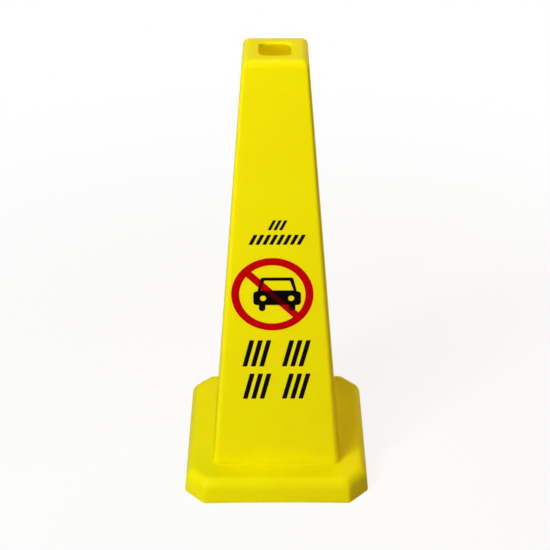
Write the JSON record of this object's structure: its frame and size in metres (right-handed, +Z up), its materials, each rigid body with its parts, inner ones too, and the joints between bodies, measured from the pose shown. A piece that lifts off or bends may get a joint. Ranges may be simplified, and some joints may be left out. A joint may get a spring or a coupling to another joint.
{
  "type": "cone sign",
  "caption": "Hollow four-sided tapered floor cone on a square cut-corner base, with a square opening in the top. It stands on the floor to carry a printed sign, and stacks.",
  "frame": {"origin": "on the floor, under the middle of the sign", "axes": "+Z up along the column, front face towards -Y, +X to the right of someone reading the front"},
  "size_m": [0.269, 0.269, 0.65],
  "materials": {
    "column_plastic": "satin moulded yellow",
    "base_plastic": "satin moulded yellow"
  },
  "bodies": {
    "root": {"column_shell": "column_plastic", "base_skirt": "base_plastic"}
  },
  "joints": []
}
